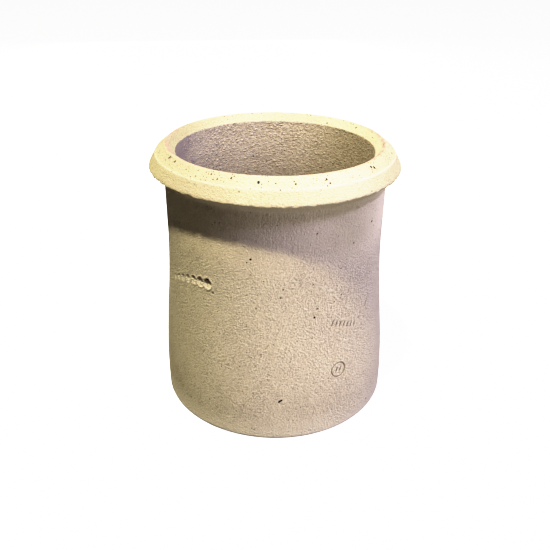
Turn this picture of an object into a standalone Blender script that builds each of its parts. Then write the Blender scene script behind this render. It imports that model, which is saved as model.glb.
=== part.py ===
"""A roll-top chimney pot in buff fired clay.

One turned piece, open at both ends: a foot that spreads a little, a straight neck and a heavy rim that
hangs over it. The rim has a sloping chamfer on top, a narrow flat crest and a slope down into the flue.
Three marks were pressed into the wet clay: a row of scoops, a slanting row of short strokes and a ring.

Metres, +Z up. The origin is the centre of the foot's underside. The front of the pot faces -Y, and angles
round it are degrees from the front, positive towards +X.
"""

import math

import bmesh
import bpy
from mathutils import Matrix, Vector

# The body
POT_HEIGHT = 0.300
FOOT_RADIUS = 0.1322  # outside
NECK_RADIUS = 0.1206  # outside
WALL = 0.0148  # clay thickness from the foot to the neck
FOOT_STRAIGHT = 0.010  # height of the upright stretch at the foot
NECK_STRAIGHT = 0.061  # height of the upright stretch under the rim
FOOT_BEVEL = 0.0010  # worn edges of the foot, outside and inside

# The rim, from the mouth of the flue outwards and down
MOUTH_FLARE = 0.0009  # how much wider the mouth is than the flue in the neck
SLOPE_WIDTH = 0.0068  # slope from the crest down into the mouth
SLOPE_DROP = 0.0081
CREST_WIDTH = 0.0040  # flat land on top
CHAMFER_WIDTH = 0.0108  # sloping top of the rim
CHAMFER_DROP = 0.0086
BAND_WIDTH = 0.0078  # steep outer band under the chamfer
BAND_DROP = 0.0139
UNDERSIDE_DROP = 0.0115  # from the band's lower edge to where the rim meets the neck

# Roundings of the rim's corners
MOUTH_ROUND = 0.0016
CREST_ROUND = 0.0008
CREASE_ROUND = 0.0035
BAND_ROUND = 0.0020
NECK_ROUND = 0.0060

# The row of scoops, pressed deeper towards its right end
ROW_COUNT = 8
ROW_ANGLES = (-66.9, -34.4)  # first and last scoop
ROW_HEIGHTS = (0.1584, 0.1782)
ROW_BOW = 0.0040  # how far the middle of the row rises above a straight line
ROW_WIDTHS = (0.0044, 0.0100)
ROW_TALL = (0.0062, 0.0116)
ROW_DEPTHS = (0.0009, 0.0031)
ROW_DEEPENING = 4.0  # the higher, the nearer to the right end the row deepens

# The slanting row of short strokes
TALLY_COUNT = 7
TALLY_ANGLES = (29.6, 43.6)
TALLY_HEIGHTS = (0.1366, 0.1262)
TALLY_LENGTH = 0.0070
TALLY_WIDTH = 0.0018
TALLY_DEPTH = 0.0010
STROKE_LEAN = 24.0  # degrees, with the tops of the strokes to the right, also in the ring

# The pressed ring, with two short strokes in it
RING_ANGLE = 32.8
RING_HEIGHT = 0.0784
RING_RADIUS = 0.0087
RING_GROOVE = 0.0008  # half the groove's width, and its depth
RING_STROKE_LENGTH = 0.0074
RING_STROKE_GAP = 0.0046

MARK_SPAN = 0.0020  # length over which the body's slope under a mark is taken

# How finely the round shapes are cut
POT_SEGMENTS = 96
BODY_RUNGS = 7
CORNER_STEPS = 2
SCOOP_SEGMENTS = 10
STROKE_SEGMENTS = 8
RING_SEGMENTS = 28
GROOVE_SEGMENTS = 6

CLAY_COLOUR = (0.62, 0.51, 0.35, 1.0)
CLAY_ROUGHNESS = 0.93

CREASE_HEIGHT = POT_HEIGHT - CHAMFER_DROP
BAND_FOOT_HEIGHT = CREASE_HEIGHT - BAND_DROP
UNDERSIDE_HEIGHT = BAND_FOOT_HEIGHT - UNDERSIDE_DROP
FLARE_TOP = UNDERSIDE_HEIGHT - NECK_STRAIGHT

MOUTH_RADIUS = NECK_RADIUS - WALL + MOUTH_FLARE
CREST_INNER_RADIUS = MOUTH_RADIUS + SLOPE_WIDTH
CREST_OUTER_RADIUS = CREST_INNER_RADIUS + CREST_WIDTH
CREASE_RADIUS = CREST_OUTER_RADIUS + CHAMFER_WIDTH
RIM_RADIUS = CREASE_RADIUS + BAND_WIDTH


def clear_scene():
    for item in list(bpy.data.objects):
        bpy.data.objects.remove(item, do_unlink=True)


def body_radius(height):
    """Outside radius of the body: upright at the foot and the neck, with one long easy curve between."""
    along = (height - FOOT_STRAIGHT) / (FLARE_TOP - FOOT_STRAIGHT)
    along = min(max(along, 0.0), 1.0)
    return NECK_RADIUS + (FOOT_RADIUS - NECK_RADIUS) * (1 + math.cos(math.pi * along)) / 2


def rounded(before, corner, after, radius):
    """Points of a smooth curve that rounds the corner between two straight runs, at most half of each."""
    corner = Vector(corner)
    arriving = Vector(before) - corner
    leaving = Vector(after) - corner
    reach = radius / math.tan(arriving.angle(leaving) / 2)
    reach = min(reach, arriving.length * 0.48, leaving.length * 0.48)
    start = corner + arriving.normalized() * reach
    end = corner + leaving.normalized() * reach
    points = []
    for step in range(CORNER_STEPS + 1):
        along = step / CORNER_STEPS
        points.append(start * (1 - along) ** 2 + corner * 2 * along * (1 - along) + end * along**2)
    return points


def body_rungs():
    """Heights at which the body's curve is cut, from the foot's bevel to the top of the flare."""
    return [FOOT_BEVEL + (FLARE_TOP - FOOT_BEVEL) * rung / BODY_RUNGS for rung in range(BODY_RUNGS + 1)]


def rim_outline():
    """The rim in section, from the neck outside, over the crest, to the mouth of the flue."""
    corners = [
        ((NECK_RADIUS, FLARE_TOP), 0),
        ((NECK_RADIUS, UNDERSIDE_HEIGHT), NECK_ROUND),
        ((RIM_RADIUS, BAND_FOOT_HEIGHT), BAND_ROUND),
        ((CREASE_RADIUS, CREASE_HEIGHT), CREASE_ROUND),
        ((CREST_OUTER_RADIUS, POT_HEIGHT), CREST_ROUND),
        ((CREST_INNER_RADIUS, POT_HEIGHT), CREST_ROUND),
        ((MOUTH_RADIUS, POT_HEIGHT - SLOPE_DROP), MOUTH_ROUND),
        ((NECK_RADIUS - WALL, FLARE_TOP), 0),
    ]
    points = []
    for (before, _), (corner, radius), (after, _) in zip(corners, corners[1:], corners[2:]):
        points += rounded(before, corner, after, radius)
    return [(point.x, point.y) for point in points]


def pot_outline():
    """The whole section of the wall as (radius, height), up the outside and down the inside."""
    outside = [(body_radius(height), height) for height in body_rungs()]
    inside = [(body_radius(height) - WALL, height) for height in reversed(body_rungs())]
    foot = [
        (FOOT_RADIUS - WALL + FOOT_BEVEL, 0.0),
        (FOOT_RADIUS - FOOT_BEVEL, 0.0),
    ]
    return foot + outside + rim_outline() + inside


def mesh_object(name, mesh_maker):
    mesh = bpy.data.meshes.new(name)
    form = bmesh.new()
    mesh_maker(form)
    bmesh.ops.recalc_face_normals(form, faces=form.faces)
    form.to_mesh(mesh)
    form.free()
    item = bpy.data.objects.new(name, mesh)
    bpy.context.scene.collection.objects.link(item)
    return item


def turn_outline(form, outline, segments):
    """Turns a closed outline of (radius, height) points once round the upright axis into a closed skin."""
    points = [form.verts.new((radius, 0, height)) for radius, height in outline]
    edges = [form.edges.new((points[i - 1], points[i])) for i in range(len(points))]
    bmesh.ops.spin(
        form,
        geom=points + edges,
        cent=(0, 0, 0),
        axis=(0, 0, 1),
        angle=math.tau,
        steps=segments,
        use_merge=True,
    )


def turned_pot(form):
    turn_outline(form, pot_outline(), POT_SEGMENTS)


def on_body(angle, height):
    """Frame of a mark on the body: x to the right along it, y up its slope, z straight out of the clay."""
    turn = math.radians(angle)
    right = Vector((math.cos(turn), math.sin(turn), 0))
    away = Vector((math.sin(turn), -math.cos(turn), 0))
    place = away * body_radius(height) + Vector((0, 0, height))
    above = height + MARK_SPAN
    along = away * body_radius(above) + Vector((0, 0, above)) - place
    up = along.normalized()
    frame = Matrix((right, up, right.cross(up))).transposed().to_4x4()
    frame.translation = place
    return frame


def between(ends, along):
    return ends[0] + (ends[1] - ends[0]) * along


def dent(form, frame, size, segments):
    """A closed egg shape of the given width, height and depth, centred on the clay's surface."""
    width, tall, depth = size
    scale = Matrix.Diagonal((width / 2, tall / 2, depth, 1))
    bmesh.ops.create_uvsphere(
        form,
        u_segments=segments,
        v_segments=segments // 2 + 1,
        radius=1,
        matrix=frame @ scale,
    )


def scoop_row(form):
    for scoop in range(ROW_COUNT):
        along = scoop / (ROW_COUNT - 1)
        height = between(ROW_HEIGHTS, along) + ROW_BOW * 4 * along * (1 - along)
        depth = between(ROW_DEPTHS, along**ROW_DEEPENING)
        size = (between(ROW_WIDTHS, along), between(ROW_TALL, along), depth)
        dent(form, on_body(between(ROW_ANGLES, along), height), size, SCOOP_SEGMENTS)


def tally_row(form):
    for stroke in range(TALLY_COUNT):
        along = stroke / (TALLY_COUNT - 1)
        frame = on_body(between(TALLY_ANGLES, along), between(TALLY_HEIGHTS, along))
        frame = frame @ Matrix.Rotation(math.radians(-STROKE_LEAN), 4, "Z")
        dent(form, frame, (TALLY_WIDTH, TALLY_LENGTH, TALLY_DEPTH), STROKE_SEGMENTS)


def ring_mark(form):
    groove = []
    for corner in range(GROOVE_SEGMENTS):
        turn = math.tau * corner / GROOVE_SEGMENTS
        groove.append((RING_RADIUS + RING_GROOVE * math.cos(turn), RING_GROOVE * math.sin(turn)))
    turn_outline(form, groove, RING_SEGMENTS)
    frame = on_body(RING_ANGLE, RING_HEIGHT)
    bmesh.ops.transform(form, matrix=frame, verts=form.verts)
    for side in (-1, 1):
        place = frame @ Matrix.Translation((side * RING_STROKE_GAP / 2, 0, 0))
        place = place @ Matrix.Rotation(math.radians(-STROKE_LEAN), 4, "Z")
        size = (TALLY_WIDTH, RING_STROKE_LENGTH, TALLY_DEPTH)
        dent(form, place, size, STROKE_SEGMENTS)


def press(pot, name, mesh_maker):
    """Presses a mark into the clay: a hidden cutter, whose dents may overlap, and the cut that it makes."""
    cutter = mesh_object(name, mesh_maker)
    cutter.hide_render = True
    cutter.display_type = "WIRE"
    cut = pot.modifiers.new(name, "BOOLEAN")
    cut.operation = "DIFFERENCE"
    cut.solver = "EXACT"
    cut.use_self = True
    cut.object = cutter


def buff_clay():
    clay = bpy.data.materials.new("buff_clay")
    clay.use_nodes = True
    surface = clay.node_tree.nodes["Principled BSDF"]
    surface.inputs["Base Color"].default_value = CLAY_COLOUR
    surface.inputs["Roughness"].default_value = CLAY_ROUGHNESS
    surface.inputs["Metallic"].default_value = 0.0
    clay.diffuse_color = CLAY_COLOUR
    return clay


def build_pot():
    pot = mesh_object("pot", turned_pot)
    pot.data.materials.append(buff_clay())
    press(pot, "scoop_row_cutter", scoop_row)
    press(pot, "tally_row_cutter", tally_row)
    press(pot, "ring_cutter", ring_mark)
    pot.data.shade_smooth()
    pot.data.set_sharp_from_angle(angle=math.radians(28))


clear_scene()
build_pot()
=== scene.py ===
import bmesh
import bpy
import math
import random
from mathutils import Euler, Matrix, Vector, noise


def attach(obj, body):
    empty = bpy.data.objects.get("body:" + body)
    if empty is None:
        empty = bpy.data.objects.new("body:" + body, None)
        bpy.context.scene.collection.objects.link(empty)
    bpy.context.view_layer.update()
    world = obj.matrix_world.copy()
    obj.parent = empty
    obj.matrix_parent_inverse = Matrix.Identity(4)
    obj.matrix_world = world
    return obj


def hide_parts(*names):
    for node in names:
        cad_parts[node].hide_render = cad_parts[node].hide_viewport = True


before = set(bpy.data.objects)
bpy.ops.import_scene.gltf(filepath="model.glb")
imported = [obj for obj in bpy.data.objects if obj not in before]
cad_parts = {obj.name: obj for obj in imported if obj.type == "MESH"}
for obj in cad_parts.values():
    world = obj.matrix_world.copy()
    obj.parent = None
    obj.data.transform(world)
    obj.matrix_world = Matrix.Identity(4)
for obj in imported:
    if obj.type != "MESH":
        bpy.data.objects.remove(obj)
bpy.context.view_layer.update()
print("frame loaded")

# Lengths are in metres. Angles round the pot are degrees from the front (-Y), positive towards +X.
potForm = {
    "height": 0.300,
    "footRadius": 0.1322,
    "neckRadius": 0.1206,
    "wall": 0.0148,
    "footStraight": 0.010,
    "neckStraight": 0.061,
    "footBevel": 0.0010,
    "mouthFlare": 0.0009,
    "slopeWidth": 0.0068,
    "slopeDrop": 0.0081,
    "crestWidth": 0.0040,
    "chamferWidth": 0.0108,
    "chamferDrop": 0.0086,
    "bandWidth": 0.0078,
    "bandDrop": 0.0139,
    "undersideDrop": 0.0115,
    "mouthRound": 0.0014,
    "crestRound": 0.0008,
    "creaseRound": 0.0035,
    "bandRound": 0.0020,
    "neckRound": 0.0060,
    "columns": 300,  # faces round the pot
    # distance between rows of points along each stretch of the outline
    "rows": {
        "foot": 0.0030,
        "body": 0.0024,
        "under": 0.0016,
        "band": 0.0012,
        "chamfer": 0.0012,
        "crest": 0.0009,
        "slope": 0.0012,
        "bore": 0.0007,
        "midBore": 0.0030,
        "deepBore": 0.0080,
    },
    "deepBoreBelow": 0.190,
}

# How the clay departs from the turned form: layers of uneven clay, each of its own grain size
clayRelief = {
    "wobble": {"size": 0.110, "squash": 0.8, "height": 0.00035, "seed": 3.1},
    "lumps": {"size": 0.020, "squash": 1.2, "height": 0.00012, "seed": 7.7},
    "drag": {"size": 0.0080, "squash": 1.3, "height": 0.00008, "seed": 1.3},
    "boreLumps": {"size": 0.016, "squash": 1.5, "height": 0.00022, "seed": 5.2},
    "boreGrit": {"size": 0.0066, "squash": 1.5, "height": 0.00020, "seed": 9.4},
    "boreEdge": (-0.0003, 0.0007),  # distances past the mouth between which the flue's clay takes over
    "boreRough": (0.0005, 0.009),  # and between which it grows rough
    "rimCalm": 0.35,  # how much of the lumps is left on the rim
    "rimShort": 0.00030,  # how far the rim stays within the turned form
    "wiped": (-93, 27),  # middle and spread, in degrees, of the part of the flue that was wiped smooth
    "wipedCalm": 0.85,
    "pitFrom": 0.42,  # how rare the drag pits are
    "pitDepth": 0.0009,
    "sag": ((0.265, 0.0005), (0.110, 0.0006), (0.050, 0.0014), (0.010, 0.0018)),  # lean towards +X, by height
    "sagEnds": (0.262, 0.276),  # heights between which the lean fades out
}

# The ragged lower edge of the rim
rimBurr = {
    "length": 0.0056,
    "fineness": 2.6,  # how much shorter the small teeth are
    "fineShare": 0.5,
    "squash": 0.1,
    "seeds": (2.2, 6.6),
    "reach": 0.0021,
    "band": 0.0022,
    "shift": 0.0004,
    "hangFrom": -0.10,
    "tornFrom": 0.12,
    "tornShare": 0.5,
    "least": 0.02,  # share of the edge below which nothing is ragged
}

# Worn places along the foot and the crest
wornEdges = {
    "size": 0.016,
    "squash": 0.6,
    "seed": 4.4,
    "from": 0.38,  # how rare they are
    "depth": 0.0010,
    "crestSpread": 0.0035,
    "footOffset": 0.0010,
    "footSpread": 0.0014,
}

scoopRow = {
    "count": 8,
    "angles": (-66.9, -34.4),
    "heights": (0.1584, 0.1782),
    "bow": 0.0040,
    "widths": (0.0044, 0.0100),
    "tall": (0.0062, 0.0116),
    "depths": (0.0009, 0.0031),
    "deepening": 7,  # a higher number keeps the deep scoops nearer to the row's right end
    "lip": 0.0007,
}

tallyRow = {
    "count": 7,
    "angles": (29.6, 43.6),
    "heights": (0.1366, 0.1262),
    "length": 0.0076,
    "width": 0.0018,
    "depth": 0.0016,
    "lean": -24.0,
}

ringMark = {
    "angle": 32.8,
    "height": 0.0784,
    "radius": 0.0087,
    "groove": 0.00055,
    "depth": 0.0015,
    "strokeLength": 0.0076,
    "strokeWidth": 0.0019,
    "strokeGap": 0.0046,
    "shadeDepth": 0.0009,  # depth at which the painted shade in it is full
}
markShadeDepth = 0.0008  # the same for the other marks

# A small pit beside the deep end of the scoops
sidePit = {"angle": -31.4, "height": 0.1694, "width": 0.0030, "tall": 0.0034, "depth": 0.0012}

scratches = {
    "count": 14,
    "angles": (46.0, 57.0),
    "heights": (0.150, 0.116),
    "length": 0.0046,
    "width": 0.0016,
    "depth": 0.0011,
}

# Iron spots and holes: angle, height, width, on the slope inside the crest or not
ironSpots = [
    (19.7, 0.1484, 0.0024, False),
    (21.3, 0.1580, 0.0018, False),
    (18.7, 0.1863, 0.0018, False),
    (4.2, 0.1836, 0.0017, False),
    (3.0, 0.1745, 0.0018, False),
    (-11.2, 0.2158, 0.0024, False),
    (-13.0, 0.2120, 0.0016, False),
    (55.3, 0.2360, 0.0026, False),
    (41.0, 0.2218, 0.0019, False),
    (19.6, 0.2419, 0.0017, False),
    (54.6, 0.0134, 0.0022, False),
    (-60.8, 0.2981, 0.0024, False),
    (-54.5, 0.2977, 0.0019, False),
    (-29.6, 0.2977, 0.0015, False),
    (-25.6, 0.2953, 0.0015, False),
    (-19.4, 0.2973, 0.0017, False),
    (-7.0, 0.2961, 0.0023, False),
    (8.9, 0.2951, 0.0015, False),
    (23.0, 0.2965, 0.0018, False),
    (24.0, 0.2937, 0.0015, False),
    (50.2, 0.2971, 0.0022, False),
    (51.9, 0.2960, 0.0025, False),
    (77.6, 0.2948, 0.0018, False),
    (123.2, 0.2969, 0.0019, True),
    (145.5, 0.2940, 0.0016, True),
    (-148.0, 0.1210, 0.0022, False),
    (152.0, 0.2250, 0.0020, False),
    (-112.0, 0.0620, 0.0024, False),
    (101.0, 0.1730, 0.0019, False),
]

ironLook = {"depth": 0.0006, "tall": 0.9, "fade": (0.8, 1.25), "reach": 0.003}

# A dark splinter burnt into the clay near the foot
splinter = {
    "angle": 3.0,
    "height": 0.0517,
    "length": 0.0064,
    "width": 0.0027,
    "depth": 0.0008,
    "lean": -52.0,
    "fade": (0.75, 1.15),
}

# Pink rust where the crest is rubbed, and painted shade along the crest's inner edge at the front
crestRustAndShade = {
    "sides": ((-88, 26, 1.0), (88, 24, 0.8)),  # angle, spread and share of the two heaviest places
    "least": 0.26,
    "sideShare": 1.05,
    "spread": 0.0021,
    "front": (0.1, 0.7),  # cosine of the angle, for the painted shade along the crest's inner edge at the front
    "frontShare": 0.75,
    "frontSpread": 0.0011,
    "patches": {"size": 0.007, "squash": 1.0, "seed": 8.8},
    "patchiness": 1.1,
}

# Fired tones, painted shade and painted light. A pair is where the tone starts and where it is full, in
# degrees or metres.
clayTones = {
    "rimSkin": 0.004,  # length over which the rim's smoother skin begins
    "chamferFrom": (-0.001, 0.002),  # past the chamfer's lower edge
    "chamferTo": (-0.001, 0.003),  # past the crest's inner edge
    "backFade": (110, 150),
    # painted shade: the body's left side, and below it the flue's right side
    "leftShade": (4, 66),
    "flueSideShade": (0.25, 0.95),  # sine of the angle
    # painted shade on the neck, strongest just under the rim
    "neckHeights": (0.200, 0.232),
    "neckLeft": 0.35,
    "neckRight": (15, 42),
    "neckEnds": (54, 68),
    "neckEndShare": 0.75,
    "throatHeights": (0.245, 0.262),
    "throatShare": 0.4,
    # painted shade on the rim's right end, toning down its highlight
    "rimRight": (30, 62),
    "rimShare": 0.5,
    # a painted highlight along the rim's crease
    "creaseSpread": 0.0011,
    "creaseShare": 0.6,
    # the body painted lighter towards the right, a painted light
    "paleRight": (36, 72),
    "paleEnds": (105, 150),
    "paleShare": 0.9,
}

maskNames = ("inner", "rubbedAndShaded", "iron", "pressed", "chamfer", "smoothed", "rim", "crease", "paintedShade")


def bodyRadius(height):
    flareTop = potForm["height"] - potForm["chamferDrop"] - potForm["bandDrop"]
    flareTop -= potForm["undersideDrop"] + potForm["neckStraight"]
    along = (height - potForm["footStraight"]) / (flareTop - potForm["footStraight"])
    along = min(max(along, 0.0), 1.0)
    spread = potForm["footRadius"] - potForm["neckRadius"]
    return potForm["neckRadius"] + spread * (1 + math.cos(math.pi * along)) / 2


def straightRun(start, end, zone, gap=0.0001):
    steps = max(1, round((end - start).length / gap))
    return [(start.lerp(end, step / steps), zone) for step in range(steps)]


def roundedCorner(before, corner, after, radius, zones, steps=30):
    arriving = before - corner
    leaving = after - corner
    reach = radius / math.tan(arriving.angle(leaving) / 2)
    reach = min(reach, arriving.length * 0.48, leaving.length * 0.48)
    start = corner + arriving.normalized() * reach
    end = corner + leaving.normalized() * reach
    points = []
    for step in range(steps + 1):
        along = step / steps
        place = start * (1 - along) ** 2 + corner * 2 * along * (1 - along) + end * along**2
        points.append((place, zones[0] if along < 0.5 else zones[1]))
    return points


def potOutline():
    # Wall section as dense points with the name of their stretch, up the outside and down the inside
    form = potForm
    crease = form["height"] - form["chamferDrop"]
    bandFoot = crease - form["bandDrop"]
    underside = bandFoot - form["undersideDrop"]
    flareTop = underside - form["neckStraight"]
    mouth = form["neckRadius"] - form["wall"] + form["mouthFlare"]
    crestIn = mouth + form["slopeWidth"]
    crestOut = crestIn + form["crestWidth"]
    creaseRadius = crestOut + form["chamferWidth"]
    rimRadius = creaseRadius + form["bandWidth"]
    bevel = form["footBevel"]
    footIn = form["footRadius"] - form["wall"]
    corners = [
        ((form["neckRadius"], flareTop), 0, "body"),
        ((form["neckRadius"], underside), form["neckRound"], "under"),
        ((rimRadius, bandFoot), form["bandRound"], "band"),
        ((creaseRadius, crease), form["creaseRound"], "chamfer"),
        ((crestOut, form["height"]), form["crestRound"], "crest"),
        ((crestIn, form["height"]), form["crestRound"], "slope"),
        ((mouth, form["height"] - form["slopeDrop"]), form["mouthRound"], "bore"),
        ((mouth, form["height"] - form["slopeDrop"] - 0.003), 0, "midBore"),
        ((form["neckRadius"] - form["wall"], flareTop), 0, "midBore"),
    ]
    corners = [(Vector(place), radius, zone) for place, radius, zone in corners]

    dense = straightRun(Vector((footIn + bevel, 0)), Vector((form["footRadius"] - bevel, 0)), "foot")
    dense += straightRun(Vector((form["footRadius"] - bevel, 0)), Vector((form["footRadius"], bevel)), "body")
    steps = round((flareTop - bevel) / 0.0001)
    heights = [bevel + (flareTop - bevel) * step / steps for step in range(steps)]
    dense += [(Vector((bodyRadius(height), height)), "body") for height in heights]
    for before, corner, after in zip(corners, corners[1:], corners[2:]):
        bend = roundedCorner(before[0], corner[0], after[0], corner[1], (before[2], corner[2]))
        dense += straightRun(dense[-1][0], bend[0][0], before[2]) + bend
    dense += straightRun(dense[-1][0], corners[-1][0], "midBore")
    for height in reversed(heights):
        zone = "midBore" if height > form["deepBoreBelow"] else "deepBore"
        dense.append((Vector((bodyRadius(height) - form["wall"], height)), zone))
    dense += straightRun(Vector((footIn, bevel)), Vector((footIn + bevel, 0)), "deepBore")
    return dense


def outlineRows():
    # Thins the outline to the wanted rows, each as
    # (radius, height, stretch, length along the skin from the foot's inner edge)
    rows = []
    travelled = 0.0
    sinceRow = 1.0
    last = None
    for place, zone in potOutline():
        if last is not None:
            travelled += (place - last).length
            sinceRow += (place - last).length
        if sinceRow >= potForm["rows"][zone]:
            rows.append((place.x, place.y, zone, travelled))
            sinceRow = 0.0
        last = place
    return rows


def leanAt(height):
    # The fired pot leans a little, more so towards its foot
    steps = clayRelief["sag"]
    for (top, above), (bottom, below) in zip(steps, steps[1:]):
        if height > bottom:
            along = min(max((height - bottom) / (top - bottom), 0.0), 1.0)
            lean = below + (above - below) * along
            return lean * (1 - smooth(height, *clayRelief["sagEnds"]))
    return steps[-1][1]


def grain(place, size, squash, seed):
    return noise.noise(Vector((place.x / size + seed, place.y / size - seed, place.z * squash / size)))


def layerGrain(place, layer):
    return grain(place, layer["size"], layer["squash"], layer["seed"])


def angleOf(place):
    return math.degrees(math.atan2(place.x, -place.y))


def angleGap(angle, other):
    return (angle - other + 180) % 360 - 180


def between(ends, along):
    return ends[0] + (ends[1] - ends[0]) * along


def smooth(value, low, high):
    along = min(max((value - low) / (high - low), 0.0), 1.0)
    return along * along * (3 - 2 * along)


def passed(travelled, start, ends):
    # Grows from 0 to 1 between two distances past the start of a stretch
    return smooth(travelled, start + ends[0], start + ends[1])


def bell(distance, spread):
    return math.exp(-((distance / spread) ** 2))


def arcLength(angle, centre, height):
    return math.radians(angleGap(angle, centre)) * bodyRadius(height)


def dentDepth(across, up, width, tall, depth, top=0.0):
    # An oval dent; top above 0 makes it deeper towards its upper end
    edge = math.hypot(2 * across / width, 2 * up / tall)
    if edge >= 1:
        return 0.0, edge
    return depth * (1 - edge * edge) ** 0.65 * (1 + top * 2 * up / tall), edge


def turned(across, up, lean):
    turn = math.radians(lean)
    return across * math.cos(turn) + up * math.sin(turn), up * math.cos(turn) - across * math.sin(turn)


def scoopPress(angle, height):
    row = scoopRow
    deepest = lip = floor = undercut = 0.0
    for scoop in range(row["count"]):
        along = scoop / (row["count"] - 1)
        centre = between(row["angles"], along)
        across = arcLength(angle, centre, height)
        up = height - between(row["heights"], along) - row["bow"] * 4 * along * (1 - along)
        width = between(row["widths"], along)
        tall = between(row["tall"], along)
        depth = between(row["depths"], along ** row["deepening"])
        depth, edge = dentDepth(across, up, width, tall, depth, 0.85)
        deepest = max(deepest, depth)
        lip = max(lip, row["lip"] * along * bell(edge - 1.16, 0.13))
        overhang = 0.15 * along**row["deepening"]  # how much farther down the painted shadow under the lip reaches in the last scoops
        # a painted shadow under the upper lip of each scoop
        high = smooth(up / tall, 0.27 - overhang, 0.33 - overhang)
        within = 1 - smooth(edge, 0.85, 1.0)
        undercut = max(undercut, within * high * (0.4 + 0.6 * along))
        # the rest of each scoop's floor painted lit
        floor = max(floor, (1 - smooth(edge, 0.95, 1.30)) * (1 - high) * (0.35 + 0.65 * along))
    return deepest, lip, floor, undercut


def tallyPress(angle, height):
    row = tallyRow
    deepest = 0.0
    for stroke in range(row["count"]):
        along = stroke / (row["count"] - 1)
        across = arcLength(angle, between(row["angles"], along), height)
        across, up = turned(across, height - between(row["heights"], along), row["lean"])
        deepest = max(deepest, dentDepth(across, up, row["width"], row["length"], row["depth"])[0])
    return deepest


def ringPress(angle, height):
    mark = ringMark
    across = arcLength(angle, mark["angle"], height)
    up = height - mark["height"]
    off = math.hypot(across, up) - mark["radius"]
    deepest = mark["depth"] * bell(off, mark["groove"])
    lip = 0.3 * mark["depth"] * bell(off - 2.2 * mark["groove"], mark["groove"])
    for side in (-1, 1):
        beside, along = turned(across - side * mark["strokeGap"] / 2, up, tallyRow["lean"])
        depth = dentDepth(beside, along, mark["strokeWidth"], mark["strokeLength"], mark["depth"])[0]
        deepest = max(deepest, depth)
    return deepest, lip


def scratchStrokes():
    rng = random.Random(41)
    strokes = []
    for _ in range(scratches["count"]):
        along = rng.random()
        angle = between(scratches["angles"], rng.random())
        height = between(scratches["heights"], along) + rng.uniform(-0.003, 0.003)
        strokes.append((angle, height, rng.uniform(-70, 10), rng.uniform(0.6, 1.1)))
    return strokes


def scratchPress(angle, height, strokes):
    deepest = 0.0
    for centre, middle, lean, share in strokes:
        across, up = turned(arcLength(angle, centre, height), height - middle, lean)
        length = scratches["length"] * share
        deepest = max(deepest, dentDepth(across, up, scratches["width"], length, scratches["depth"])[0])
    return deepest


def markPatches():
    # Where the skin is cut finer: angle, height, half width, half height, inside the crest or not.
    # The first three are cut once more than the others.
    patches = [
        (36.6, 0.1312, 0.0185, 0.0085, False),  # the slanting row of strokes
        (ringMark["angle"], ringMark["height"], 0.0115, 0.0115, False),
        (-39.4, 0.1772, 0.0150, 0.0080, False),  # the deep end of the scoops
        (-50.4, 0.1690, 0.0400, 0.0140, False),  # all the scoops
        (52.0, 0.1330, 0.0140, 0.0210, False),  # the scratches
        (splinter["angle"], splinter["height"], 0.0040, 0.0040, False),
        (sidePit["angle"], sidePit["height"], 0.0030, 0.0030, False),
    ]
    for angle, height, width, inside in ironSpots:
        reach = 0.0022 + width / 2
        patches.append((angle, height, reach, reach, inside))
    return patches


def inPatch(place, patch, inside, margin):
    angle, height, halfWidth, halfTall, patchInside = patch
    if inside != patchInside or abs(place.z - height) > halfTall + margin:
        return False
    across = math.radians(angleGap(angleOf(place), angle)) * math.hypot(place.x, place.y)
    return abs(across) <= halfWidth + margin


def turnedSkin(rows):
    columns = potForm["columns"]
    points = []
    for radius, height, _, _ in rows:
        for column in range(columns):
            turn = math.tau * column / columns
            points.append((radius * math.cos(turn), radius * math.sin(turn), height))
    faces = []
    for row in range(len(rows)):
        lower = row * columns
        upper = (row + 1) % len(rows) * columns
        for column in range(columns):
            side = (column + 1) % columns
            faces.append((lower + column, lower + side, upper + side, upper + column))
    return points, faces


def zoneStarts(rows):
    # Where each stretch of the wall section starts, as a length along the skin
    starts = {}
    for _, _, zone, travelled in rows:
        starts.setdefault(zone, travelled)
    starts["crestMiddle"] = (starts["crest"] + starts["slope"]) / 2
    return starts


def fineSkin(rows, starts):
    # The turned skin, cut finer where something was pressed into the clay
    points, faces = turnedSkin(rows)
    mesh = bpy.data.meshes.new("chimneyPot")
    mesh.from_pydata(points, [], faces)
    form = bmesh.new()
    form.from_mesh(mesh)
    travel = form.verts.layers.float.new("travel")
    form.verts.ensure_lookup_table()
    for row, (_, _, _, travelled) in enumerate(rows):
        for column in range(potForm["columns"]):
            form.verts[row * potForm["columns"] + column][travel] = travelled
    bmesh.ops.recalc_face_normals(form, faces=form.faces)

    patches = markPatches()
    for margin, wanted in ((0.0022, patches), (0.0, patches), (-0.0006, patches[:3])):
        near = set()
        for vert in form.verts:
            inside = vert[travel] > starts["slope"]
            if inside and vert[travel] > starts["bore"]:
                continue
            if any(inPatch(vert.co, patch, inside, margin) for patch in wanted):
                near.add(vert)
        edges = [edge for edge in form.edges if edge.verts[0] in near and edge.verts[1] in near]
        bmesh.ops.subdivide_edges(form, edges=edges, cuts=1, use_grid_fill=True)
    ragged = [face for face in form.faces if len(face.verts) > 4]
    bmesh.ops.triangulate(form, faces=ragged)
    form.normal_update()
    return mesh, form, travel


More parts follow.
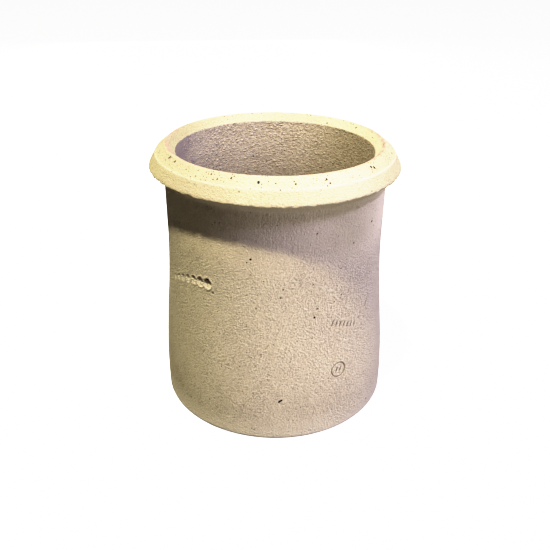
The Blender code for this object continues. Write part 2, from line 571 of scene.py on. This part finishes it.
def claySwell(place, travelled, inner, wiped, starts):
    # How far the uneven clay stands out of the turned form
    relief = clayRelief
    swell = relief["wobble"]["height"] * layerGrain(place, relief["wobble"])
    fine = layerGrain(place, relief["drag"])
    coarse = layerGrain(place, relief["lumps"]) * relief["lumps"]["height"]
    calm = relief["rimCalm"] if starts["band"] <= travelled < starts["bore"] else 1.0
    swell += (1 - inner) * calm * (coarse + fine * relief["drag"]["height"])
    grit = layerGrain(place, relief["boreLumps"]) * relief["boreLumps"]["height"]
    grit += layerGrain(place, relief["boreGrit"]) * relief["boreGrit"]["height"]
    rough = passed(travelled, starts["bore"], relief["boreRough"])
    swell += rough * (1 - relief["wipedCalm"] * wiped) * grit
    if starts["body"] <= travelled < starts["under"]:
        swell -= relief["pitDepth"] * max(0.0, fine - relief["pitFrom"])
    # the rim keeps within the turned form, so its clay only ever falls short of it
    if starts["under"] <= travelled < starts["bore"]:
        swell -= relief["rimShort"]
    return swell


def raggedRim(place, travelled, starts):
    # How far the rim's lower edge hangs down, and how far it is torn back
    burr = rimBurr
    near = bell(travelled - starts["band"] + burr["shift"], burr["band"])
    if near <= burr["least"]:
        return 0.0, 0.0
    tooth = grain(place, burr["length"], burr["squash"], burr["seeds"][0])
    fine = grain(place, burr["length"] / burr["fineness"], burr["squash"], burr["seeds"][1])
    tooth += burr["fineShare"] * fine
    hang = burr["reach"] * max(0.0, tooth - burr["hangFrom"]) * near
    torn = burr["tornShare"] * burr["reach"] * max(0.0, -tooth - burr["tornFrom"]) * near
    return hang, torn


def wornAway(place, travelled, starts):
    wear = max(0.0, layerGrain(place, wornEdges) - wornEdges["from"])
    crestNear = bell(travelled - starts["crestMiddle"], wornEdges["crestSpread"])
    footNear = bell(travelled - starts["body"] - wornEdges["footOffset"], wornEdges["footSpread"])
    return wornEdges["depth"] * wear * (crestNear + footNear)


def bodyMarks(angle, height, strokes):
    # All marks on the body: how far the clay moves, the painted shade in them, their floors painted lit,
    # and the burnt splinter
    depth, lip, floor, hollowShade = scoopPress(angle, height)
    push = lip - depth
    depth, lip = ringPress(angle, height)
    push += lip - depth
    # painted shade in the ring's groove and strokes
    hollowShade = max(hollowShade, min(depth / ringMark["shadeDepth"], 1.0))
    depth = tallyPress(angle, height) + scratchPress(angle, height, strokes)
    pit = sidePit
    across = arcLength(angle, pit["angle"], height)
    depth += dentDepth(across, height - pit["height"], pit["width"], pit["tall"], pit["depth"])[0]
    # painted shade in the slanting strokes, scratches and side pit
    hollowShade = max(hollowShade, min(depth / markShadeDepth, 1.0))
    across = arcLength(angle, splinter["angle"], height)
    across, up = turned(across, height - splinter["height"], splinter["lean"])
    burnt, edge = dentDepth(across, up, splinter["width"], splinter["length"], splinter["depth"])
    return push - depth - burnt, hollowShade, floor, 1 - smooth(edge, *splinter["fade"])


def ironAt(place, angle, inside):
    # Depth and darkness of the iron spots
    depth = dark = 0.0
    for spotAngle, height, width, spotInside in ironSpots:
        if inside == spotInside and abs(place.z - height) < ironLook["reach"]:
            across = math.radians(angleGap(angle, spotAngle)) * math.hypot(place.x, place.y)
            tall = width * ironLook["tall"]
            dent, edge = dentDepth(across, place.z - height, width, tall, ironLook["depth"])
            depth += dent
            dark = max(dark, 1 - smooth(edge, *ironLook["fade"]))
    return depth, dark


def rustAndShadeAt(place, angle, travelled, starts):
    rustAndShade = crestRustAndShade
    sides = sum(share * bell(angleGap(angle, middle), spread) for middle, spread, share in rustAndShade["sides"])
    rubbedAndShaded = rustAndShade["least"] + rustAndShade["sideShare"] * sides
    rubbedAndShaded *= bell(travelled - starts["crestMiddle"], rustAndShade["spread"])
    # painted shade along the crest's inner edge at the front
    front = smooth(math.cos(math.radians(angle)), *rustAndShade["front"])
    rubbedAndShaded += rustAndShade["frontShare"] * front * bell(travelled - starts["slope"], rustAndShade["frontSpread"])
    return rubbedAndShaded * (1 + rustAndShade["patchiness"] * layerGrain(place, rustAndShade["patches"]))


def paintedShadeAt(place, angle, travelled, inner, starts):
    # Painted shade: outside on the left and in the flue on the right the clay is painted darker, and so are
    # the neck and the rim's right end
    tones = clayTones
    front = 1 - smooth(abs(angle), *tones["backFade"])
    paintedShade = (1 - inner) * smooth(-angle, *tones["leftShade"]) * front
    paintedShade = max(paintedShade, inner * smooth(math.sin(math.radians(angle)), *tones["flueSideShade"]))
    # painted shade on the neck and just under the rim's overhang
    if travelled < starts["band"]:
        neck = smooth(place.z, *tones["neckHeights"])
        neck *= between((tones["neckLeft"], 1.0), smooth(angle, *tones["neckRight"]))
        neck *= 1 - tones["neckEndShare"] * smooth(angle, *tones["neckEnds"])
        neck += tones["throatShare"] * smooth(place.z, *tones["throatHeights"])
        paintedShade = max(paintedShade, neck * front)
    # painted shade on the rim's right end
    elif travelled < starts["slope"]:
        paintedShade = max(paintedShade, tones["rimShare"] * smooth(angle, *tones["rimRight"]) * front)
    return paintedShade


def paintedLightAt(angle, travelled, floor, onBody, starts):
    # Painted light: a painted highlight at the crease of the rim, the floors of the scoops painted lit, and
    # the body painted lighter towards the right
    tones = clayTones
    pale = max(floor, tones["creaseShare"] * bell(travelled - starts["chamfer"], tones["creaseSpread"]))
    if onBody:
        right = smooth(angle, *tones["paleRight"]) * (1 - smooth(angle, *tones["paleEnds"]))
        pale = max(pale, tones["paleShare"] * right)
    return pale


def makePot():
    rows = outlineRows()
    starts = zoneStarts(rows)
    mesh, form, travel = fineSkin(rows, starts)
    print("pot turned,", len(form.verts), "points")

    strokes = scratchStrokes()
    wipedMiddle, wipedSpread = clayRelief["wiped"]
    masks = {name: [] for name in maskNames}
    moved = []
    for vert in form.verts:
        place = vert.co
        travelled = vert[travel]
        angle = angleOf(place)
        inner = passed(travelled, starts["bore"], clayRelief["boreEdge"])
        wiped = bell(angleGap(angle, wipedMiddle), wipedSpread) * inner
        onBody = starts["body"] <= travelled < starts["under"]

        push = claySwell(place, travelled, inner, wiped, starts)
        hang, torn = raggedRim(place, travelled, starts)
        push -= torn + wornAway(place, travelled, starts)
        hollowShade = floor = iron = 0.0
        if onBody:
            marked, hollowShade, floor, iron = bodyMarks(angle, place.z, strokes)
            push += marked
        if travelled < starts["bore"]:
            depth, dark = ironAt(place, angle, travelled > starts["slope"])
            push -= depth
            iron = max(iron, dark)
        if travelled < starts["body"]:
            push = 0.0
        placed = place + vert.normal * push + Vector((leanAt(place.z), 0, -hang))
        placed.z = max(placed.z, 0.0)
        moved.append(placed)

        rim = passed(travelled, starts["under"], (0.0, clayTones["rimSkin"])) * (1 - inner)
        chamfer = passed(travelled, starts["chamfer"], clayTones["chamferFrom"])
        chamfer *= 1 - passed(travelled, starts["slope"], clayTones["chamferTo"])
        values = {
            "inner": inner,
            "rubbedAndShaded": rustAndShadeAt(place, angle, travelled, starts),
            "iron": iron,
            # painted shade in the marks
            "pressed": hollowShade,
            "chamfer": chamfer,
            "smoothed": max(wiped, rim),
            "rim": rim,
            # painted light
            "crease": paintedLightAt(angle, travelled, floor, onBody, starts),
            # painted shade
            "paintedShade": paintedShadeAt(place, angle, travelled, inner, starts),
        }
        for name in maskNames:
            masks[name].append(min(max(values[name], 0.0), 1.0))
    for vert, place in zip(form.verts, moved):
        vert.co = place
    form.to_mesh(mesh)
    form.free()
    for name, values in masks.items():
        mesh.attributes.new(name, "FLOAT", "POINT").data.foreach_set("value", values)
    mesh.shade_smooth()
    pot = bpy.data.objects.new("chimneyPot", mesh)
    bpy.context.scene.collection.objects.link(pot)
    print("clay roughened and marked,", sum(len(face.vertices) - 2 for face in mesh.polygons), "triangles")
    return pot


def newGroup(name, inputs, outputs):
    # A shader node group; inputs and outputs are (name, kind, value)
    group = bpy.data.node_groups.new(name, "ShaderNodeTree")
    kinds = {"value": "NodeSocketFloat", "colour": "NodeSocketColor", "vector": "NodeSocketVector"}
    for title, kind, value in inputs:
        socket = group.interface.new_socket(name=title, in_out="INPUT", socket_type=kinds[kind])
        if value is not None:
            socket.default_value = value
    for title, kind in outputs:
        group.interface.new_socket(name=title, in_out="OUTPUT", socket_type=kinds[kind])
    start = group.nodes.new("NodeGroupInput")
    end = group.nodes.new("NodeGroupOutput")
    start.location = (-1200, 0)
    end.location = (800, 0)
    return group, start, end


def addNode(tree, kind, place, links=(), **settings):
    # Places a node; links are (input name or number, where its value comes from)
    node = tree.nodes.new(kind)
    node.location = place
    for key, value in settings.items():
        setattr(node, key, value)
    for socket, source in links:
        if isinstance(source, (int, float, tuple)):
            node.inputs[socket].default_value = source
        else:
            tree.links.new(source, node.inputs[socket])
    return node


def addMath(tree, place, operation, first, second=0.0, third=None, clamp=False):
    links = [(0, first), (1, second)]
    if third is not None:
        links.append((2, third))
    return addNode(tree, "ShaderNodeMath", place, links, operation=operation, use_clamp=clamp).outputs[0]


def addRamp(tree, place, source, low, high, lowTo=0.0, highTo=1.0):
    links = [("Value", source), ("From Min", low), ("From Max", high), ("To Min", lowTo), ("To Max", highTo)]
    node = addNode(tree, "ShaderNodeMapRange", place, links, interpolation_type="SMOOTHSTEP", clamp=True)
    return node.outputs["Result"]


def addMix(tree, place, share, first, second, blend="MIX"):
    node = addNode(tree, "ShaderNodeMix", place, data_type="RGBA", blend_type=blend)
    for socket, source in (("Factor", share), ("A", first), ("B", second)):
        target = [item for item in node.inputs if item.name == socket and item.enabled][0]
        if isinstance(source, (int, float, tuple)):
            target.default_value = source
        else:
            tree.links.new(source, target)
    return [item for item in node.outputs if item.enabled][0]


def addNoise(tree, place, vector, scale, detail=2.0, rough=0.5):
    links = [("Vector", vector), ("Scale", scale), ("Detail", detail), ("Roughness", rough)]
    return addNode(tree, "ShaderNodeTexNoise", place, links).outputs[0]


def stretched(tree, place, vector, squash):
    # Squashes the pattern upwards, so that it runs round the pot
    scaled = addNode(tree, "ShaderNodeVectorMath", place, [(0, vector)], operation="MULTIPLY")
    if isinstance(squash, (int, float)):
        scaled.inputs[1].default_value = (1, 1, squash)
    else:
        beside = (place[0] - 160, place[1] - 120)
        joined = addNode(tree, "ShaderNodeCombineXYZ", beside, [("X", 1.0), ("Y", 1.0), ("Z", squash)])
        tree.links.new(joined.outputs[0], scaled.inputs[1])
    return scaled.outputs[0]


def clayGrainGroup():
    # Coarse fired clay: grit, smeared drag marks, raised grains and pinholes, as a height and masks; the
    # Light mask sets painted light on the grain and painted shade in its hollows
    group, start, end = newGroup(
        "clayGrain",
        [
            ("Place", "vector", None),
            ("Grit", "value", 620.0),
            ("Drag", "value", 260.0),
            ("Squash", "value", 1.2),
            ("Pinholes", "value", 0.5),
            ("Grains", "value", 0.3),
        ],
        [("Height", "value"), ("Pits", "value"), ("Light", "value"), ("Grains", "value")],
    )
    vector = stretched(group, (-900, 200), start.outputs["Place"], start.outputs["Squash"])
    grit = addNoise(group, (-600, 300), vector, start.outputs["Grit"], 2.5, 0.62)
    drag = addNoise(group, (-600, 80), vector, start.outputs["Drag"], 2.0, 0.55)
    links = [("Vector", vector), ("Scale", start.outputs["Drag"])]
    cells = addNode(group, "ShaderNodeTexVoronoi", (-600, -160), links)
    chance = addNode(group, "ShaderNodeSeparateColor", (-380, -340), [("Color", cells.outputs["Color"])])
    hole = addRamp(group, (-380, -160), cells.outputs["Distance"], 0.10, 0.30, 1.0, 0.0)
    wanted = addMath(group, (-200, -340), "LESS_THAN", chance.outputs[0], start.outputs["Pinholes"])
    pits = addMath(group, (-20, -240), "MULTIPLY", hole, wanted)
    bump = addRamp(group, (-380, -520), cells.outputs["Distance"], 0.12, 0.52, 1.0, 0.0)
    flat = addMath(group, (-380, -700), "SUBTRACT", 1.0, start.outputs["Grains"])
    raised = addMath(group, (-200, -520), "GREATER_THAN", chance.outputs[1], flat)
    unsunk = addMath(group, (-20, -700), "SUBTRACT", 1.0, wanted)
    grains = addMath(group, (-20, -520), "MULTIPLY", bump, raised)
    grains = addMath(group, (160, -520), "MULTIPLY", grains, unsunk)
    height = addMath(group, (-200, 240), "MULTIPLY_ADD", grit, 0.9, drag)
    height = addMath(group, (180, 120), "MULTIPLY_ADD", pits, -0.7, height)
    height = addMath(group, (360, 120), "MULTIPLY_ADD", grains, 0.6, height)
    light = addMath(group, (180, 300), "MULTIPLY_ADD", drag, 0.6, grit)
    for title, source in (("Height", height), ("Pits", pits), ("Light", light), ("Grains", grains)):
        group.links.new(source, end.inputs[title])
    return group


def flecksGroup():
    # Scattered iron flecks, each a small dark dot of its own size
    group, start, end = newGroup(
        "ironFlecks",
        [
            ("Place", "vector", None),
            ("Scale", "value", 120.0),
            ("Share", "value", 0.2),
            ("Size", "value", 0.16),
        ],
        [("Mask", "value")],
    )
    links = [("Vector", start.outputs["Place"]), ("Scale", start.outputs["Scale"])]
    cells = addNode(group, "ShaderNodeTexVoronoi", (-700, 0), links)
    parts = addNode(group, "ShaderNodeSeparateColor", (-500, -200), [("Color", cells.outputs["Color"])])
    wanted = addMath(group, (-300, -200), "LESS_THAN", parts.outputs[0], start.outputs["Share"])
    size = addMath(group, (-480, -380), "ADD", parts.outputs[1], 0.35)
    size = addMath(group, (-300, -380), "MULTIPLY", start.outputs["Size"], size)
    distance = addMath(group, (-260, 0), "DIVIDE", cells.outputs["Distance"], size)
    nearness = addMath(group, (-100, 0), "SUBTRACT", 1.0, distance, clamp=True)
    dot = addRamp(group, (100, 0), nearness, 0.0, 0.3)
    group.links.new(addMath(group, (300, 0), "MULTIPLY", dot, wanted), end.inputs["Mask"])
    return group


def cloudsGroup():
    # Broad uneven toning from the kiln and from handling
    group, start, end = newGroup(
        "kilnClouds",
        [("Place", "vector", None), ("Scale", "value", 14.0), ("Low", "value", 0.4), ("High", "value", 0.62)],
        [("Mask", "value")],
    )
    cloud = addNoise(group, (-600, 0), start.outputs["Place"], start.outputs["Scale"], 4.0, 0.6)
    spread = addRamp(group, (-300, 0), cloud, start.outputs["Low"], start.outputs["High"])
    group.links.new(spread, end.inputs["Mask"])
    return group


groups = {"grain": clayGrainGroup(), "flecks": flecksGroup(), "clouds": cloudsGroup()}
print("shader groups made")

outsideClay = {
    "buff": (0.630, 0.516, 0.356, 1),
    "pale": (0.730, 0.626, 0.462, 1),
    "dull": (0.522, 0.418, 0.294, 1),
    # rust on the crest, also used for the painted shade along its inner edge
    "rustAndShade": (0.315, 0.190, 0.140, 1),
    # the rim painted darker and yellower, a painted shade on its bright faces
    "rimShadeTint": (0.87, 0.885, 0.795, 1),
    # multiplied in where shade is painted
    "paintedShadeTint": (0.690, 0.705, 0.655, 1),
    "iron": (0.012, 0.010, 0.009, 1),
    # painted shade between the grains and in the pinholes
    "hollowShade": (0.240, 0.180, 0.120, 1),
    # painted shade in the marks
    "deepShade": (0.130, 0.092, 0.060, 1),
    "stainAndShade": (0.340, 0.262, 0.180, 1),
    "stainBand": (0.018, 0.075),  # height of the mottled band near the foot
    "streakBand": (0.185, 0.235),  # height of the combed clay under the rim
    "grit": 860.0,
    "drag": 470.0,
    "squash": 1.1,
    "pinholes": 0.30,
    "grains": 0.20,
    "fleckScale": 400.0,
    "bump": 0.0042,
    "hollow": 0.60,  # how dark the clay is painted between its grains, a painted shade
    "roughness": 0.90,
    "depthTone": 0.0,
}

boreClay = {
    **outsideClay,
    "buff": (0.455, 0.359, 0.251, 1),
    "pale": (0.600, 0.510, 0.394, 1),
    "dull": (0.360, 0.275, 0.190, 1),
    # the rim painted darker and yellower, a painted shade
    "rimShadeTint": (0.88, 0.90, 0.84, 1),
    # multiplied in where shade is painted in the flue
    "paintedShadeTint": (0.60, 0.58, 0.50, 1),
    "hollowShade": (0.220, 0.165, 0.110, 1),
    # painted shade deep in the flue
    "stainAndShade": (0.170, 0.122, 0.080, 1),
    "stainBand": (-0.500, -0.400),  # below the pot and above it, so neither band shows
    "streakBand": (0.900, 0.950),
    "grit": 560.0,
    "drag": 250.0,
    "squash": 1.4,
    "grains": 0.45,
    "bump": 0.0012,
    "hollow": 0.25,
    "roughness": 0.94,
    "depthTone": 0.85,  # how far the flue is painted darker below the mouth, a painted shade
}

# What both clays share. A pair is where a ramp starts and where it ends.
clayMix = {
    # scale of the clouds, and the noise where they start and are full
    "clouds": {
        "broad": (11.0, 0.36, 0.66),
        "small": (75.0, 0.40, 0.62),
        "crowd": (55.0, 0.36, 0.52),
        "mottle": (42.0, 0.42, 0.66),
    },
    "stainFades": (0.014, 0.022),  # at the band's lower and upper end
    "flecks": 0.034,
    "rimFlecks": 0.70,
    "stainFlecks": 0.10,
    "fleckSize": 0.27,
    "smoothedCalm": 0.80,
    "streakCalm": 0.72,
    # where the grain is painted lit, and where its hollows are painted in shade
    "lit": (0.74, 0.90),
    "hollows": (0.62, 0.77),
    "patches": 0.30,
    "stained": 0.24,
    "raised": 0.55,
    # painted shade in the pinholes
    "pits": 0.60,
    "stainPits": 0.40,
    # share of the painted shade in the marks
    "pressed": 0.85,
    # share of the painted light
    "crease": 0.70,
    # the foot painted paler, a painted light
    "footBand": (0.004, 0.032),
    "footPale": 0.80,
    "flueShade": (0.195, 0.287),
    "ironEdge": (0.15, 0.60),
    "dry": (0.5, 1.1),
    "drier": 0.05,
    "slicker": 0.08,
    "specular": 0.20,
    "diffuseRoughness": 0.30,
    "combSquash": 0.10,
    "combScale": 520.0,
    "combDetail": 1.5,
    "combBump": 0.14,
}


def placeGroup(tree, name, place, links):
    return addNode(tree, "ShaderNodeGroup", place, links, node_tree=groups[name])


def clayMaterial(name, look):
    mix = clayMix
    clay = bpy.data.materials.new(name)
    clay.use_nodes = True
    tree = clay.node_tree
    surface = tree.nodes["Principled BSDF"]
    surface.location = (2000, 0)
    place = addNode(tree, "ShaderNodeTexCoord", (-1800, 0)).outputs["Object"]
    height = addNode(tree, "ShaderNodeSeparateXYZ", (-1600, 600), [("Vector", place)]).outputs["Z"]
    mask = {}
    for step, title in enumerate(maskNames[1:]):
        spot = (-1800, -200 - 180 * step)
        mask[title] = addNode(tree, "ShaderNodeAttribute", spot, attribute_name=title).outputs["Fac"]
    cloud = {}
    for step, (title, (scale, low, high)) in enumerate(mix["clouds"].items()):
        links = [("Place", place), ("Scale", scale), ("Low", low), ("High", high)]
        cloud[title] = placeGroup(tree, "clouds", (-1400, 200 - 180 * step), links).outputs["Mask"]
    links = [("Place", place)]
    links += [(title, look[title.lower()]) for title in ("Grit", "Drag", "Squash", "Pinholes", "Grains")]
    texture = placeGroup(tree, "grain", (-1400, 420), links)
    light = texture.outputs["Light"]

    # the mottled band near the foot
    low, high = look["stainBand"]
    rising = addRamp(tree, (-1400, 800), height, low, low + mix["stainFades"][0])
    falling = addRamp(tree, (-1400, 640), height, high - mix["stainFades"][1], high, 1.0, 0.0)
    stained = addMath(tree, (-1200, 720), "MULTIPLY", rising, falling)
    stained = addMath(tree, (-1020, 720), "MULTIPLY", stained, cloud["mottle"])

    # iron flecks, more of them on the rim and in the mottled band
    onRim = addMath(tree, (-1200, -500), "MULTIPLY", mask["chamfer"], cloud["crowd"])
    share = addMath(tree, (-1040, -500), "MULTIPLY_ADD", onRim, mix["rimFlecks"], mix["flecks"])
    share = addMath(tree, (-880, -500), "MULTIPLY_ADD", stained, mix["stainFlecks"], share)
    links = [("Place", place), ("Scale", look["fleckScale"]), ("Share", share), ("Size", mix["fleckSize"])]
    flecks = placeGroup(tree, "flecks", (-720, -500), links).outputs["Mask"]

    # less grain where the clay was wiped, thrown smooth or combed
    onStreaks = addRamp(tree, (-1200, -800), height, *look["streakBand"])
    combedCalm = addMath(tree, (-1020, -800), "MULTIPLY", onStreaks, mix["streakCalm"])
    calm = addMath(tree, (-1020, -660), "MULTIPLY", mask["smoothed"], mix["smoothedCalm"])
    calm = addMath(tree, (-860, -660), "MAXIMUM", calm, combedCalm)
    grainShare = addMath(tree, (-700, -660), "SUBTRACT", 1.0, calm)

    # painted light on the grain's high parts and painted shade in its hollows
    lit = addRamp(tree, (-900, 360), light, *mix["lit"])
    hollow = addRamp(tree, (-900, 520), light, *mix["hollows"], look["hollow"], 0.0)
    raised = addMath(tree, (-500, -320), "MULTIPLY", grainShare, mix["raised"])
    # painted shade in the pinholes, more of it in the mottled band
    sunk = addMath(tree, (-500, -460), "MULTIPLY", grainShare, mix["pits"])
    sunk = addMath(tree, (-340, -460), "MULTIPLY_ADD", stained, mix["stainPits"], sunk)
    # the foot painted paler, a painted light
    foot = addRamp(tree, (600, 520), height, *mix["footBand"], mix["footPale"], 0.0)
    # the flue painted darker with depth, a painted shade
    deep = addRamp(tree, (900, 520), height, *mix["flueShade"], look["depthTone"], 0.0)
    burnt = addRamp(tree, (1200, 520), mask["iron"], *mix["ironEdge"])

    # colours laid over each other from the clay up: where, how much, which
    layers = (
        # painted light on the grain
        (lit, grainShare, "pale"),
        # painted shade between the grains
        (hollow, grainShare, "hollowShade"),
        (cloud["small"], mix["patches"], "buff"),
        (stained, mix["stained"], "stainAndShade"),
        (texture.outputs["Grains"], raised, "pale"),
        # painted shade in the pinholes
        (texture.outputs["Pits"], sunk, "hollowShade"),
        # painted shade in the marks
        (mask["pressed"], mix["pressed"], "deepShade"),
        # the rim painted darker and yellower, a painted shade
        (mask["rim"], None, "rimShadeTint"),
        # painted shade
        (mask["paintedShade"], None, "paintedShadeTint"),
        # painted light
        (mask["crease"], mix["crease"], "pale"),
        # painted light on the foot
        (foot, None, "pale"),
        # rust on the crest, and painted shade along its inner edge at the front
        (mask["rubbedAndShaded"], None, "rustAndShade"),
        # painted shade deep in the flue
        (deep, None, "stainAndShade"),
        (flecks, None, "iron"),
        (burnt, None, "iron"),
    )
    tone = addMix(tree, (-700, 100), cloud["broad"], look["dull"], look["buff"])
    for step, (part, share, colour) in enumerate(layers):
        across = -500 + 160 * step
        if share is not None:
            part = addMath(tree, (across, 320), "MULTIPLY", part, share)
        blend = "MULTIPLY" if colour.endswith("Tint") else "MIX"
        tone = addMix(tree, (across, 100), part, tone, look[colour], blend)
    tree.links.new(tone, surface.inputs["Base Color"])

    most = look["roughness"] + mix["drier"]
    least = look["roughness"] - mix["slicker"]
    dry = addRamp(tree, (1700, -200), light, *mix["dry"], most, least)
    tree.links.new(dry, surface.inputs["Roughness"])
    surface.inputs["Specular IOR Level"].default_value = mix["specular"]
    surface.inputs["Diffuse Roughness"].default_value = mix["diffuseRoughness"]

    # the grain stands out of the skin, and so do combed streaks under the rim
    combed = stretched(tree, (-500, -900), place, mix["combSquash"])
    streaks = addNoise(tree, (-300, -900), combed, mix["combScale"], mix["combDetail"])
    streakShare = addMath(tree, (-300, -1060), "MULTIPLY", onStreaks, mix["combBump"])
    relief = addMath(tree, (0, -700), "MULTIPLY", texture.outputs["Height"], grainShare)
    relief = addMath(tree, (200, -700), "MULTIPLY_ADD", streaks, streakShare, relief)
    links = [("Height", relief), ("Distance", look["bump"]), ("Strength", 1.0)]
    bump = addNode(tree, "ShaderNodeBump", (1700, -500), links)
    tree.links.new(bump.outputs[0], surface.inputs["Normal"])
    return clay


pot = makePot()
pot.data.materials.append(clayMaterial("buffClay", outsideClay))
pot.data.materials.append(clayMaterial("boreClay", boreClay))
innerMask = pot.data.attributes["inner"].data
for face in pot.data.polygons:
    if min(innerMask[corner].value for corner in face.vertices) > 0.5:
        face.material_index = 1
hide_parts("pot")
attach(pot, "root")
print("pot dressed")

studio = {
    "floorSize": 14.0,
    "floorSeen": (0.80, 0.79, 0.78, 1),
    "floorPatches": (0.83, 0.82, 0.81, 1),
    "floorBounce": (0.085, 0.080, 0.072, 1),
    "floorDrop": 0.0002,
    "floorGlow": 1.30,  # lifts the pot's shadow on the floor, for the camera alone
    "glowInset": (0.016, 0.004),  # how far within the foot the glow starts, and is full
    "aim": (0, 0, 0.18),
    # degrees round the pot and up, distance, width and height of the lamp, power
    "warm": {
        "azimuth": -26,
        "elevation": 70.6,
        "distance": 2.4,
        "size": (0.20, 0.12),
        "power": 152,
        "colour": (1, 0.95, 0.70),
    },
    "cool": {
        "azimuth": 57,
        "elevation": 51.5,
        "distance": 2.4,
        "size": (1.10, 0.14),
        "power": 44,
        "colour": (0.98, 0.96, 1.62),
    },
    "low": {
        "azimuth": 60,
        "elevation": -4,
        "distance": 1.1,
        "size": (0.70, 0.12),
        "power": 8.4,
        "colour": (1, 0.95, 1.10),
    },
    "back": {
        "azimuth": 188,
        "elevation": 12,
        "distance": 2.6,
        "size": (1.20, 1.20),
        "power": 44,
        "colour": (1, 0.97, 0.92),
    },
    "world": (1.0, 0.94, 0.92, 1),
    "worldPower": 0.052,
    "worldSeen": 1.30,  # the pale backdrop, for the camera alone
    # the view's curve: light in, light shown
    "shoulder": (
        (0, 0),
        (0.4, 0.4),
        (0.65, 0.65),
        (0.80, 0.785),
        (0.95, 0.880),
        (1.1, 0.928),
        (1.35, 0.958),
        (1.9, 0.985),
        (3.5, 1.0),
    ),
}


def makeFloor():
    mesh = bpy.data.meshes.new("floor")
    half = studio["floorSize"] / 2
    corners = [(-half, -half, 0), (half, -half, 0), (half, half, 0), (-half, half, 0)]
    mesh.from_pydata(corners, [], [(0, 1, 2, 3)])
    floor = bpy.data.objects.new("floor", mesh)
    floor.location.z = -studio["floorDrop"]
    bpy.context.scene.collection.objects.link(floor)
    paint = bpy.data.materials.new("paleFloor")
    paint.use_nodes = True
    tree = paint.node_tree
    surface = tree.nodes["Principled BSDF"]
    surface.inputs["Roughness"].default_value = 0.9
    surface.inputs["Specular IOR Level"].default_value = 0.0
    seen = addNode(tree, "ShaderNodeLightPath", (-600, 0)).outputs["Is Camera Ray"]
    place = addNode(tree, "ShaderNodeTexCoord", (-900, -200)).outputs["Object"]
    cloud = addNoise(tree, (-700, -200), place, 3.0, 3.0)
    patchy = addRamp(tree, (-600, -350), cloud, 0.3, 0.7)
    shade = addMix(tree, (-500, -200), patchy, studio["floorSeen"], studio["floorPatches"])
    tree.links.new(addMix(tree, (-300, 0), seen, studio["floorBounce"], shade), surface.inputs["Base Color"])
    surface.inputs["Emission Color"].default_value = (1, 1, 1, 1)
    # no glow inside the flue, where the floor stays in shade
    away = addNode(tree, "ShaderNodeVectorMath", (-700, 300), [(0, place)], operation="LENGTH")
    dark, full = (potForm["footRadius"] - inset for inset in studio["glowInset"])
    glow = addRamp(tree, (-500, 300), away.outputs["Value"], dark, full, 0.0, studio["floorGlow"])
    tree.links.new(addMath(tree, (-300, 200), "MULTIPLY", seen, glow), surface.inputs["Emission Strength"])
    mesh.materials.append(paint)


def makeLamp(name, look):
    lamp = bpy.data.lights.new(name, "AREA")
    lamp.shape = "RECTANGLE"
    lamp.size, lamp.size_y = look["size"]
    lamp.energy = look["power"]
    lamp.color = look["colour"]
    holder = bpy.data.objects.new(name, lamp)
    turn = math.radians(look["azimuth"])
    rise = math.radians(look["elevation"])
    away = Vector((math.sin(turn) * math.cos(rise), -math.cos(turn) * math.cos(rise), math.sin(rise)))
    holder.location = Vector(studio["aim"]) + away * look["distance"]
    holder.rotation_euler = away.to_track_quat("Z", "Y").to_euler()
    holder.visible_camera = False
    bpy.context.scene.collection.objects.link(holder)


def makeWorld():
    world = bpy.data.worlds.new("studio")
    world.use_nodes = True
    tree = world.node_tree
    backdrop = tree.nodes["Background"]
    backdrop.inputs["Color"].default_value = studio["world"]
    seen = addNode(tree, "ShaderNodeLightPath", (-600, 0)).outputs["Is Camera Ray"]
    power = addRamp(tree, (-300, 0), seen, 0.0, 1.0, studio["worldPower"], studio["worldSeen"])
    tree.links.new(power, backdrop.inputs["Strength"])
    bpy.context.scene.world = world


makeFloor()
makeWorld()
for lightName in ("warm", "cool", "low", "back"):
    makeLamp(lightName + "Light", studio[lightName])


def softenHighlights():
    # A gentle shoulder, so that the bright rim keeps its colour
    view = bpy.context.scene.view_settings
    view.view_transform = "Standard"
    view.use_curve_mapping = True
    curves = view.curve_mapping
    curves.use_clip = False
    curves.clip_max_x = studio["shoulder"][-1][0]
    shoulder = curves.curves[3]
    points = studio["shoulder"]
    shoulder.points[0].location = points[0]
    shoulder.points[1].location = points[-1]
    for point in points[1:-1]:
        shoulder.points.new(*point)
    curves.update()


softenHighlights()
print("studio lit")

cameraView = {"distance": 0.6803, "height": 0.5023, "pitch": 28.35, "yaw": 0.11, "roll": -0.67, "lens": 42.55}


def makeCamera():
    view = bpy.data.cameras.new("camera")
    view.lens = cameraView["lens"]
    view.sensor_width = 36.0
    view.clip_start = 0.01
    camera = bpy.data.objects.new("camera", view)
    turn = Euler((0, 0, -math.radians(cameraView["yaw"]))).to_matrix()
    tilt = Euler((math.radians(90 - cameraView["pitch"]), 0, 0)).to_matrix()
    roll = Euler((0, 0, -math.radians(cameraView["roll"]))).to_matrix()
    stand = Matrix.Translation((0, -cameraView["distance"], cameraView["height"]))
    camera.matrix_world = stand @ (turn @ tilt @ roll).to_4x4()
    bpy.context.scene.collection.objects.link(camera)
    bpy.context.scene.camera = camera


makeCamera()
